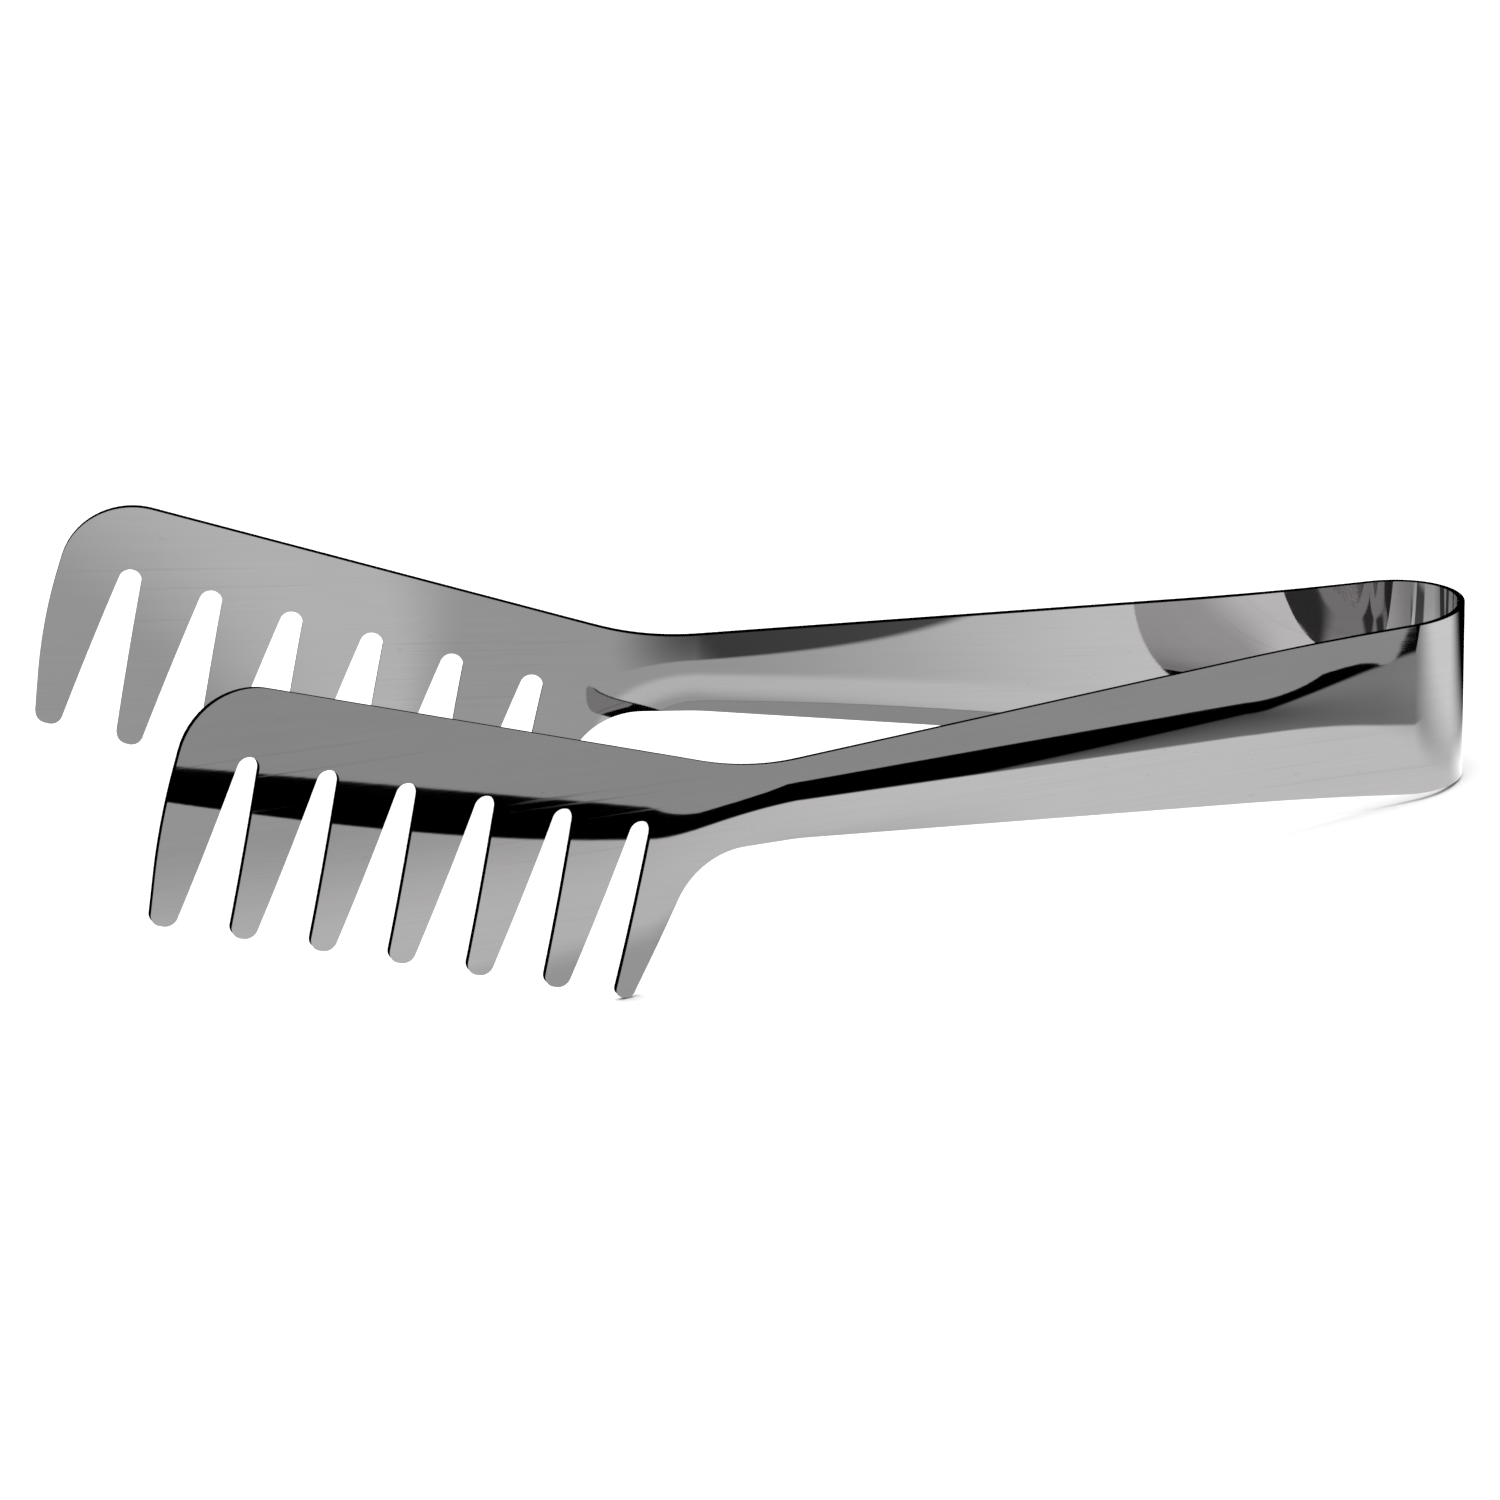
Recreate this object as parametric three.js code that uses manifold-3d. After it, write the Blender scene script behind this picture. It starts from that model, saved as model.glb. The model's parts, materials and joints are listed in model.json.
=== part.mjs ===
// Serving tongs bent from one strip of sheet steel: a sprung bow, two grip arms and two comb heads.
// Millimetres, +Z up, +X towards the bow, combs towards -X, left arm on -Y and right arm on +Y.
// The strip is drawn in its own frame, where the bow's ends lie level and the bow's middle is at the
// origin. At the end the whole is tipped so that it stands on the bow's lower edge and the last tines.
// The steel is one piece. It is cut here where it flexes, with CUT_GAP between its parts.
import * as THREE from "three";
import { mergeVertices } from "three/addons/utils/BufferGeometryUtils.js";
import Module from "manifold-3d";

// Sheet
const SHEET = 1.0; // thickness of the steel
const CUT_GAP = 0.3; // between two parts of the strip

// Plan of one half of the strip, along its middle surface. An opening is an angle away from the X axis.
const BOW_RADIUS = 10.9;
const BOW_OPENING = 5.5; // degrees, where the bow ends
const FLARE_START = 5.0; // straight run between the bow and the flare
const FLARE_LENGTH = 22; // the arms swing out to their full opening here
const ARM_OPENING = 12.2; // degrees
const ARM_LENGTH = 70; // straight run of the arm
const NECK_BEND = 15; // length over which the arm turns into the head
const HEAD_OPENING = 10.3; // degrees

// Side view of the arms: heights of the edges above and below the middle of the bow
const BOW_TOP = 13.1;
const BOW_BOTTOM = 13.0;
const NECK_TOP = 6.5; // at the end of the arm's straight run
const NECK_BOTTOM = 5.3; // from there the lower edge runs level, up to the last tine
const ARM_EDGE_RADIUS = 40;
const NECK_TOP_RADIUS = 40;
const THROAT_RADIUS = 11; // under the neck, into the last tine

// Side view of the comb head, in its own axes: along the head from the first slot, and down the tines
const HEAD_DROOP = 17; // degrees, the head's top edge against the arm
const LAST_SLOT_SETBACK = 22.85; // from the end of the arm's straight run to the last slot's top
const LAST_SLOT_LEVEL = 0.57; // its height above the middle of the bow
const SLOTS = 6;
const SLOT_PITCH = 11.75;
const SLOT_HALF_WIDTH = 1.25; // at its top
const SLOT_FLARE = 6.1; // degrees, each side
const LAST_SLOT_FLARE = 4.2; // degrees, the side of the last slot that the last tine has
const TINE_LENGTH = 25.2;
const HEAD_RISE = 9.9; // from the slots' tops to the head's top edge
const FRONT_MARGIN = 10.4; // from the first slot's middle to the front edge
const FRONT_CORNER_RADIUS = 10.5;
const FRONT_EDGE_BEND = 11; // below the slots' tops, where the front edge turns in
const FRONT_EDGE_RADIUS = 85;
const FRONT_TIP_INSET = 2.6; // the front tine narrows by this towards its tip
const LAST_TINE_ROOT = 10.2; // width of the last tine's root beyond the last slot's middle
const LAST_TINE_LEAN = 9.4; // degrees, its outer edge
const TINE_TIP_RADIUS = 1.9;
const NARROW_TIP_RADIUS = 1.35;

// Crown: the sheet is arched outwards across its width, except in the bow
const ARM_CROWN = 1 / 16; // rise of the arch as a share of the arm's half width
const CROWN_FADE = 25; // length beyond the bow over which the crown grows
const HEAD_CROWN_RADIUS = 170;
const HEAD_CROWN_RISE = 0.35; // of the crest over the line that the arm's edges follow
const HEAD_CROWN_CREST = 5; // below the slots' tops
const CROWN_CHANGE = 22; // length over which the arm's crown turns into the head's

// Finish
const STEEL = { color: 0x8f8d8e, roughness: 0.16, metalness: 1 };

const wasm = await Module();
wasm.setup();

const rad = THREE.MathUtils.degToRad;
const tan = (degrees) => Math.tan(rad(degrees));

// ---- Plan of the strip --------------------------------------------------------------------------

const bowLength = BOW_RADIUS * rad(90 - BOW_OPENING);
const slotSpan = (SLOTS - 1) * SLOT_PITCH;
const headRun = LAST_SLOT_SETBACK + slotSpan + FRONT_MARGIN + TINE_LENGTH;
const planRuns = [
  { length: bowLength, from: 90, to: BOW_OPENING },
  { length: FLARE_START, from: BOW_OPENING, to: BOW_OPENING },
  { length: FLARE_LENGTH, from: BOW_OPENING, to: ARM_OPENING },
  { length: ARM_LENGTH, from: ARM_OPENING, to: ARM_OPENING },
  { length: NECK_BEND, from: ARM_OPENING, to: HEAD_OPENING },
  { length: headRun, from: HEAD_OPENING, to: HEAD_OPENING },
];
const armEnd = bowLength + FLARE_START + FLARE_LENGTH + ARM_LENGTH;
const headEnd = planRuns.reduce((sum, run) => sum + run.length, 0);

// Place and opening of the left half's middle surface at a distance s along the strip. Each run is
// straight or an arc, and an arc's chord points half way between its two openings.
function planAt(s) {
  let x = 0;
  let y = 0;
  let left = s;
  for (const run of planRuns) {
    const length = Math.min(left, run.length);
    const from = rad(run.from);
    const to = THREE.MathUtils.lerp(from, rad(run.to), length / run.length);
    const half = (from - to) / 2;
    const chord = half === 0 ? length : (length * Math.sin(half)) / half;
    x -= chord * Math.cos((from + to) / 2);
    y -= chord * Math.sin((from + to) / 2);
    left -= length;
    if (left <= 0) return { x, y, opening: to };
  }
  return { x, y, opening: rad(HEAD_OPENING) };
}

// ---- Crown --------------------------------------------------------------------------------------

const bowEndX = planAt(bowLength).x;
const neckX = planAt(armEnd).x;

// Heights of the arm's two edges: straight tapers that end at the neck.
const armTopAt = (x) => BOW_TOP + ((NECK_TOP - BOW_TOP) * x) / neckX;
const armBottomAt = (x) => -THREE.MathUtils.mapLinear(x, bowEndX, neckX, BOW_BOTTOM, NECK_BOTTOM);

// Depth of a point below the slots' tops, down the tines.
function headDepth(x, z) {
  const droop = rad(HEAD_DROOP);
  return -((x - neckX + LAST_SLOT_SETBACK) * Math.sin(droop) + (z - LAST_SLOT_LEVEL) * Math.cos(droop));
}

// How far the arched middle surface stands outside the plan's line, at a point of the side view.
function crownAt(x, z) {
  const armX = Math.max(x, neckX);
  const middle = (armTopAt(armX) + armBottomAt(armX)) / 2;
  const halfWidth = (armTopAt(armX) - armBottomAt(armX)) / 2;
  const grown = THREE.MathUtils.smoothstep(bowEndX - x, 0, CROWN_FADE);
  const arm = grown * ARM_CROWN * (halfWidth - (z - middle) ** 2 / halfWidth);
  const fromCrest = headDepth(x, z) - HEAD_CROWN_CREST;
  const head = HEAD_CROWN_RISE - fromCrest ** 2 / (2 * HEAD_CROWN_RADIUS);
  return THREE.MathUtils.lerp(arm, head, THREE.MathUtils.smoothstep(neckX - x, 0, CROWN_CHANGE));
}

// ---- Side view ----------------------------------------------------------------------------------

// A point of the comb head's own axes in the side view: along it from the first slot's middle towards
// the neck, and down its tines from the slots' tops.
function headPoint(along, down, radius = 0) {
  const droop = rad(HEAD_DROOP);
  const back = along - slotSpan;
  return {
    x: neckX - LAST_SLOT_SETBACK + back * Math.cos(droop) - down * Math.sin(droop),
    z: LAST_SLOT_LEVEL - back * Math.sin(droop) - down * Math.cos(droop),
    radius,
  };
}

// The corners of the whole half strip, clockwise from the bow's top, each with the radius that rounds it.
function stripCorners() {
  const headTop = headPoint(slotSpan, -HEAD_RISE);
  const armRise = (BOW_TOP - NECK_TOP) / -neckX;
  const neckTopX = (headTop.z + headTop.x * tan(HEAD_DROOP) - BOW_TOP) / (tan(HEAD_DROOP) + armRise);
  const root = headPoint(slotSpan + LAST_TINE_ROOT, 0);
  const throatX = root.x + (-NECK_BOTTOM - root.z) * tan(HEAD_DROOP + LAST_TINE_LEAN);

  const corners = [
    { x: BOW_RADIUS, z: armTopAt(BOW_RADIUS), radius: 0 },
    { x: BOW_RADIUS, z: -BOW_BOTTOM, radius: 0 },
    { x: bowEndX, z: -BOW_BOTTOM, radius: ARM_EDGE_RADIUS },
    { x: neckX, z: -NECK_BOTTOM, radius: ARM_EDGE_RADIUS },
    { x: throatX, z: -NECK_BOTTOM, radius: THROAT_RADIUS },
  ];
  // Tines from the last to the first: the outer side's tip corner, the inner side's, then the slot.
  const lastTip = slotSpan + LAST_TINE_ROOT - TINE_LENGTH * tan(LAST_TINE_LEAN);
  corners.push(headPoint(lastTip, TINE_LENGTH, NARROW_TIP_RADIUS));
  for (let slot = SLOTS - 1; slot >= 0; slot--) {
    const middle = slot * SLOT_PITCH;
    const last = slot === SLOTS - 1;
    const right = SLOT_HALF_WIDTH + TINE_LENGTH * tan(last ? LAST_SLOT_FLARE : SLOT_FLARE);
    const left = SLOT_HALF_WIDTH + TINE_LENGTH * tan(SLOT_FLARE);
    const top = SLOT_HALF_WIDTH * tan(45 + SLOT_FLARE / 2);
    corners.push(headPoint(middle + right, TINE_LENGTH, last ? NARROW_TIP_RADIUS : TINE_TIP_RADIUS));
    corners.push(headPoint(middle + SLOT_HALF_WIDTH, 0, top));
    corners.push(headPoint(middle - SLOT_HALF_WIDTH, 0, top));
    corners.push(headPoint(middle - left, TINE_LENGTH, TINE_TIP_RADIUS));
  }
  corners.push(headPoint(-FRONT_MARGIN + FRONT_TIP_INSET, TINE_LENGTH, TINE_TIP_RADIUS));
  corners.push(headPoint(-FRONT_MARGIN, FRONT_EDGE_BEND, FRONT_EDGE_RADIUS));
  corners.push(headPoint(-FRONT_MARGIN, -HEAD_RISE, FRONT_CORNER_RADIUS));
  corners.push({ x: neckTopX, z: armTopAt(neckTopX), radius: NECK_TOP_RADIUS });
  return corners;
}

// A polygon whose corners are rounded by arcs that touch both sides. Where two arcs want more than the
// side between them, both are brought down in proportion.
const ROUNDING_LIMIT = 0.998; // share of a side that its two arcs may take
const ARC_STEP = 15; // degrees

function roundedShape(corners) {
  const count = corners.length;
  const place = corners.map((corner) => new THREE.Vector2(corner.x, corner.z));
  const side = place.map((at, i) => place[(i + 1) % count].clone().sub(at));
  const halfAngle = place.map((_, i) => {
    const back = side[(i + count - 1) % count].clone().negate();
    return (Math.PI - Math.abs(Math.PI - Math.abs(back.angle() - side[i].angle()))) / 2;
  });
  const wanted = corners.map((corner, i) => corner.radius / Math.tan(halfAngle[i]));
  const share = side.map((run, i) => {
    const longest = ROUNDING_LIMIT * run.length();
    return Math.min(1, longest / (wanted[i] + wanted[(i + 1) % count]));
  });
  const points = [];
  for (let i = 0; i < count; i++) {
    const before = (i + count - 1) % count;
    const tangent = wanted[i] * Math.min(share[before], share[i]);
    if (tangent === 0) {
      points.push(place[i]);
      continue;
    }
    const back = side[before].clone().normalize().negate();
    const on = side[i].clone().normalize();
    const start = back.clone().multiplyScalar(tangent).add(place[i]);
    const inward = back.clone().add(on).normalize();
    const centre = inward.multiplyScalar(tangent / Math.cos(halfAngle[i])).add(place[i]);
    const turn = Math.PI - 2 * halfAngle[i];
    const hand = Math.sign(on.cross(back));
    const steps = Math.max(3, Math.ceil(THREE.MathUtils.radToDeg(turn) / ARC_STEP));
    for (let k = 0; k <= steps; k++) {
      points.push(start.clone().rotateAround(centre, (hand * turn * k) / steps));
    }
  }
  return new THREE.Shape(points);
}

// ---- Solids -------------------------------------------------------------------------------------

function toSolid(geometry) {
  const plain = geometry.clone();
  plain.deleteAttribute("normal");
  plain.deleteAttribute("uv");
  const merged = mergeVertices(plain, 1e-4);
  return new wasm.Manifold(
    new wasm.Mesh({
      numProp: 3,
      vertProperties: merged.attributes.position.array,
      triVerts: new Uint32Array(merged.index.array),
    }),
  );
}

function toGeometry(solid) {
  const mesh = solid.getMesh();
  const geometry = new THREE.BufferGeometry();
  geometry.setAttribute("position", new THREE.BufferAttribute(mesh.vertProperties, 3));
  geometry.setIndex(new THREE.BufferAttribute(mesh.triVerts, 1));
  geometry.computeVertexNormals();
  return geometry;
}

// A bent and crowned sheet as a closed grid: stations along the strip, rows up it, inner and outer skin.
// It stands out over the outline on every side that the outline is to cut.
function sheetSolid(from, to, columnCount, rowCount) {
  const stations = Array.from({ length: columnCount + 1 }, (_, i) => from + ((to - from) * i) / columnCount);
  const position = [];
  const index = [];
  const columns = stations.length;
  for (const skin of [-1, 1]) {
    for (const s of stations) {
      const plan = planAt(Math.abs(s));
      const side = s < 0 ? -1 : 1;
      for (let row = 0; row <= rowCount; row++) {
        const z = THREE.MathUtils.lerp(sheetLow, sheetHigh, row / rowCount);
        const out = crownAt(plan.x, z) + (skin * SHEET) / 2;
        const x = plan.x + out * Math.sin(plan.opening);
        const y = plan.y - out * Math.cos(plan.opening);
        position.push(x, side * y, z);
      }
    }
  }
  const at = ([skin, column, row]) => (skin * columns + column) * (rowCount + 1) + row;
  const quad = (...corners) => {
    const [a, b, c, d] = corners.map(at);
    index.push(a, b, c, a, c, d);
  };
  for (let i = 0; i < columns - 1; i++) {
    for (let row = 0; row < rowCount; row++) {
      quad([0, i, row], [0, i + 1, row], [0, i + 1, row + 1], [0, i, row + 1]);
      quad([1, i, row], [1, i, row + 1], [1, i + 1, row + 1], [1, i + 1, row]);
    }
    quad([0, i, 0], [1, i, 0], [1, i + 1, 0], [0, i + 1, 0]);
    quad([0, i + 1, rowCount], [1, i + 1, rowCount], [1, i, rowCount], [0, i, rowCount]);
  }
  const end = columns - 1;
  for (let row = 0; row < rowCount; row++) {
    quad([0, 0, row], [0, 0, row + 1], [1, 0, row + 1], [1, 0, row]);
    quad([0, end, row], [1, end, row], [1, end, row + 1], [0, end, row + 1]);
  }
  const geometry = new THREE.BufferGeometry();
  geometry.setAttribute("position", new THREE.Float32BufferAttribute(position, 3));
  geometry.setIndex(index);
  return toSolid(geometry);
}

// The side view as a prism along Y that reaches past both arms.
function outlineSolid() {
  const reach = 2 * headEnd;
  const prism = new THREE.ExtrudeGeometry(roundedShape(stripCorners()), {
    depth: reach,
    bevelEnabled: false,
    steps: 1,
  });
  prism.rotateX(Math.PI / 2);
  prism.translate(0, reach / 2, 0);
  return toSolid(prism);
}

// Columns along each part and rows across it
const BOW_GRID = [44, 8];
const ARM_GRID = [26, 28];
const COMB_GRID = [16, 16];

const outline = outlineSolid();
const sheetLow = headPoint(SLOTS * SLOT_PITCH, TINE_LENGTH).z - SHEET;
const sheetHigh = headPoint(-FRONT_MARGIN, -HEAD_RISE).z + SHEET;

const bow = () => sheetSolid(-bowLength, bowLength, ...BOW_GRID).intersect(outline);
const arm = () => sheetSolid(bowLength + CUT_GAP, armEnd, ...ARM_GRID).intersect(outline);
const comb = () => sheetSolid(armEnd + CUT_GAP, headEnd, ...COMB_GRID).intersect(outline);

// ---- Scene graph --------------------------------------------------------------------------------

function piece(name, solid) {
  const mesh = new THREE.Mesh(toGeometry(solid), new THREE.MeshStandardMaterial(STEEL));
  mesh.name = name;
  return mesh;
}

// Lowest level that a mesh reaches when the strip is tipped by an angle about the Y axis.
function lowestWhenTipped(mesh, angle) {
  const place = mesh.geometry.attributes.position;
  let lowest = Infinity;
  for (let i = 0; i < place.count; i++) {
    lowest = Math.min(lowest, place.getZ(i) * Math.cos(angle) - place.getX(i) * Math.sin(angle));
  }
  return lowest;
}

// The angle at which bow and combs touch the table together, found by halving.
const STEEPEST = rad(30);
const HALVINGS = 40;

function standingAngle(bowMesh, combMesh) {
  let low = 0;
  let high = STEEPEST;
  for (let step = 0; step < HALVINGS; step++) {
    const angle = (low + high) / 2;
    const combsLower = lowestWhenTipped(combMesh, angle) < lowestWhenTipped(bowMesh, angle);
    if (combsLower) low = angle;
    else high = angle;
  }
  return (low + high) / 2;
}

const strip = new THREE.Group();
strip.add(piece("spring_bow", bow()));
for (const [side, mirror] of [["left", false], ["right", true]]) {
  for (const [part, solid] of [["arm", arm()], ["comb", comb()]]) {
    strip.add(piece(side + "_" + part, mirror ? solid.mirror([0, 1, 0]) : solid));
  }
}
strip.rotation.y = standingAngle(strip.getObjectByName("spring_bow"), strip.getObjectByName("left_comb"));

// The row's origin is the middle of the box round the tongs, at the level that they stand on.
const box = new THREE.Box3().setFromObject(strip, true);
strip.position.set(-(box.min.x + box.max.x) / 2, 0, -box.min.z);

const group = new THREE.Group();
group.add(strip);

export default group;
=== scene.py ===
"""Serving tongs bent from one strip of polished steel, on a pale studio table.

The strip is worked out in its own frame, in millimetres: the bow's middle is the origin, the combs lie
towards -X, the left arm towards -Y, and Z runs across the strip. A point of the strip is given by s, the
distance along it from the bow's middle, and z, its height across the strip. At the end each half is
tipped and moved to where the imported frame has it, in metres.
"""

import json

import bpy
import numpy as np
from mathutils import Matrix


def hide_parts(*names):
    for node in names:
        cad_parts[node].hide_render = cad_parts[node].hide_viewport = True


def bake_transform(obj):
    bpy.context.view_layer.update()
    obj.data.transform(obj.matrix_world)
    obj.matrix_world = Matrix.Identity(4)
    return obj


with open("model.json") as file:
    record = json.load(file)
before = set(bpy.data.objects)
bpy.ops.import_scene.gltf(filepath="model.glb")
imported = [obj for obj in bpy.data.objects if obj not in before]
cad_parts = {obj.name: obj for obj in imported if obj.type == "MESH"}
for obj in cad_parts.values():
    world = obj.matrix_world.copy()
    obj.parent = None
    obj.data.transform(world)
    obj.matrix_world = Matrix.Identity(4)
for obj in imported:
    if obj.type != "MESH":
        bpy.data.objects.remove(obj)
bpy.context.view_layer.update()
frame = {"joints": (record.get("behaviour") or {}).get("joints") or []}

# ---- Sizes of the strip, in millimetres and degrees ----

SHEET = 1.0
EDGE_ROUND = 0.22  # the sheared edges are tumbled to this radius

# Plan: an opening is the angle of one arm from the middle plane
BOW_RADIUS = 10.9
BOW_OPENING = 5.5
FLARE_START = 5.0
FLARE_LENGTH = 22.0
ARM_OPENING = 12.2
ARM_LENGTH = 70.0
NECK_BEND = 15.0
HEAD_OPENING = 10.3

# Heights of the strip's edges over and under its own level
BOW_TOP = 13.1
BOW_BOTTOM = 13.0
NECK_TOP = 6.5
NECK_BOTTOM = 5.3
ARM_EDGE_RADIUS = 40.0
NECK_TOP_RADIUS = 40.0
THROAT_RADIUS = 11.0

# Comb head: along runs from the first slot to the neck, down runs along the tines
HEAD_DROOP = 17.0
LAST_SLOT_SETBACK = 22.85
LAST_SLOT_LEVEL = 0.57
SLOTS = 6
SLOT_PITCH = 11.75
SLOT_HALF_WIDTH = 1.25
SLOT_FLARE = 6.1
LAST_SLOT_FLARE = 4.2
TINE_LENGTH = 25.2
HEAD_RISE = 9.9
FRONT_MARGIN = 10.4
FRONT_CORNER_RADIUS = 10.5
FRONT_EDGE_BEND = 11.0
FRONT_EDGE_RADIUS = 85.0
FRONT_TIP_INSET = 2.6
LAST_TINE_ROOT = 10.2
LAST_TINE_LEAN = 9.4
TINE_TIP_RADIUS = 1.9
NARROW_TIP_RADIUS = 1.35

# Crown: the arm's rise is a share of its half width, and the head is a shallow arch
ARM_CROWN = 1 / 16
CROWN_FADE = 25.0
HEAD_CROWN_RADIUS = 170.0
HEAD_CROWN_RISE = 0.35
HEAD_CROWN_CREST = 5.0
CROWN_CHANGE = 22.0

# Columns and rows of the grids
TINE_COLUMNS = 18
SLOT_COLUMNS = 14
NECK_COLUMNS = 40
ARM_COLUMNS = 90
BOW_COLUMNS = 40
PLATE_ROWS = 24
TINE_ROWS = 26
EDGE_ARC_STEPS = 4
OUTLINE_STEP = 0.25
TABLE_STEPS = 2000
REFINEMENTS = 4

BOW_LENGTH = BOW_RADIUS * np.radians(90 - BOW_OPENING)
SLOT_SPAN = (SLOTS - 1) * SLOT_PITCH
ARM_END = BOW_LENGTH + FLARE_START + FLARE_LENGTH + ARM_LENGTH
HEAD_RUN = LAST_SLOT_SETBACK + SLOT_SPAN + FRONT_MARGIN + TINE_LENGTH
PLAN_RUNS = (
    (BOW_LENGTH, 90, BOW_OPENING),
    (FLARE_START, BOW_OPENING, BOW_OPENING),
    (FLARE_LENGTH, BOW_OPENING, ARM_OPENING),
    (ARM_LENGTH, ARM_OPENING, ARM_OPENING),
    (NECK_BEND, ARM_OPENING, HEAD_OPENING),
    (HEAD_RUN, HEAD_OPENING, HEAD_OPENING),
)
STRIP_LENGTH = sum(run[0] for run in PLAN_RUNS)
DROOP = np.radians(HEAD_DROOP)

# ---- Small maths ----


def tan(degrees):
    """The tangent of an angle in degrees."""
    return np.tan(np.radians(degrees))


def smoothstep(value, low, high):
    """0 below low, 1 above high, and 3t^2 - 2t^3 between them, with t the share of the way."""
    t = np.clip((value - low) / (high - low), 0, 1)
    return t * t * (3 - 2 * t)


def lerp(a, b, share):
    """The value a share of the way from a to b: a + (b - a) share."""
    return a + (b - a) * share


def unit(vectors):
    """Each vector divided by its own length."""
    return vectors / np.linalg.norm(vectors, axis=-1, keepdims=True)


def length_along(path):
    """Distance from the path's first point to each point: the running sum of its steps' lengths."""
    return np.concatenate([[0], np.cumsum(np.linalg.norm(np.diff(path, axis=0), axis=1))])


def walk(path, distances):
    """Points of a path at distances along it, read off straight between its points."""
    run = length_along(path)
    return np.stack([np.interp(distances, run, path[:, k]) for k in (0, 1)], -1)


def left_of(path):
    """Unit vector to the left of the path at each point, square to the mean of the two steps that meet."""
    ahead = unit(np.diff(path, axis=0))
    along = unit(np.concatenate([ahead[:1], ahead[:-1] + ahead[1:], ahead[-1:]]))
    return np.stack([-along[:, 1], along[:, 0]], -1)


def rounded_path(corners):
    """A path through corners, each a place and a radius: straight runs joined by arcs.

    An arc touches both runs, so with turn the change of direction its centre lies radius / cos(turn / 2)
    from the corner, on the line that halves the corner, and the arc runs from -turn / 2 to turn / 2.
    """
    points = [np.array(corners[0][0])[None]]
    for before, (at, radius), after in zip(corners, corners[1:], corners[2:]):
        at = np.array(at)
        back = unit(np.array(before[0]) - at)
        on = unit(np.array(after[0]) - at)
        turn = np.pi - np.arccos(np.clip(back @ on, -1, 1))
        inward = unit(back + on)
        sideways = unit(on - back)
        centre = at + inward * radius / np.cos(turn / 2)
        count = max(3, int(radius * turn / OUTLINE_STEP))
        t = np.linspace(-turn / 2, turn / 2, count + 1)[:, None]
        points.append(centre - radius * (np.cos(t) * inward - np.sin(t) * sideways))
    points.append(np.array(corners[-1][0])[None])
    return np.concatenate(points)


# ---- The strip's middle surface ----


def plan_at(s):
    """Place and opening of the left half's middle line at distance s from the bow's middle.

    Within each run the opening changes evenly with s, so the run is a straight line or an arc: its chord
    points along the mean of its two openings, and is the run times sin(h) / h, with h half the turn. The
    first run goes on past the bow's middle, so that slopes there can be taken from both sides.
    """
    x = np.zeros_like(s)
    y = np.zeros_like(s)
    opening = np.zeros_like(s)
    left = s
    lowest = -np.inf
    for length, start, end in PLAN_RUNS:
        run = np.clip(left, lowest, length)
        to = np.radians(lerp(start, end, run / length))
        middle = (np.radians(start) + to) / 2
        chord = run * np.sinc((np.radians(start) - to) / 2 / np.pi)
        x = x - chord * np.cos(middle)
        y = y - chord * np.sin(middle)
        opening = np.where(left > lowest, to, opening)
        left = left - run
        lowest = 0
    return x, y, opening


BOW_END_X = float(plan_at(np.array([BOW_LENGTH]))[0][0])
NECK_X = float(plan_at(np.array([ARM_END]))[0][0])
ARM_RISE = (BOW_TOP - NECK_TOP) / -NECK_X


def arm_top(x):
    """Height of the arm's upper edge: a straight line from BOW_TOP at the origin to NECK_TOP at the neck."""
    return BOW_TOP + ARM_RISE * x


def arm_bottom(x):
    """Height of the arm's lower edge: a straight line from the bow's end to the neck."""
    return -lerp(BOW_BOTTOM, NECK_BOTTOM, (x - BOW_END_X) / (NECK_X - BOW_END_X))


def head_depth(x, z):
    """Depth of a side-view place below the line of the slots' tops, measured along the tines."""
    return -((x - NECK_X + LAST_SLOT_SETBACK) * np.sin(DROOP) + (z - LAST_SLOT_LEVEL) * np.cos(DROOP))


def head_point(along, down):
    """Side-view place from along and down: the head's axes, turned by the droop about the last slot's top."""
    back = along - SLOT_SPAN
    x = NECK_X - LAST_SLOT_SETBACK + back * np.cos(DROOP) - down * np.sin(DROOP)
    z = LAST_SLOT_LEVEL - back * np.sin(DROOP) - down * np.cos(DROOP)
    return np.stack([x, z], -1)


def crown_at(x, z):
    """How far the surface stands out of the plan's line.

    Across an arm it is a parabola with its crest on the arm's middle, ARM_CROWN times the half width high,
    and it grows from nothing at the bow's end. Across the head it is a parabola of HEAD_CROWN_RADIUS. Past
    the neck the first passes smoothly into the second.
    """
    arm_x = np.maximum(x, NECK_X)
    middle = (arm_top(arm_x) + arm_bottom(arm_x)) / 2
    half = (arm_top(arm_x) - arm_bottom(arm_x)) / 2
    grown = smoothstep(BOW_END_X - x, 0, CROWN_FADE)
    arm = grown * ARM_CROWN * (half - (z - middle) ** 2 / half)
    head = HEAD_CROWN_RISE - (head_depth(x, z) - HEAD_CROWN_CREST) ** 2 / (2 * HEAD_CROWN_RADIUS)
    return lerp(arm, head, smoothstep(NECK_X - x, 0, CROWN_CHANGE))


def middle_surface(s, z):
    """The plan's point at s, raised to z and moved out by the crown, square to the plan's line."""
    x, y, opening = plan_at(s)
    out = crown_at(x, z)
    return np.stack([x + out * np.sin(opening), y - out * np.cos(opening), z], -1)


def tangents(s, z, step=0.02):
    """Slopes of the middle surface along s and along z, each from two points a step to either side."""
    along = (middle_surface(s + step, z) - middle_surface(s - step, z)) / (2 * step)
    up = (middle_surface(s, z + step) - middle_surface(s, z - step)) / (2 * step)
    return along, up


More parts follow.
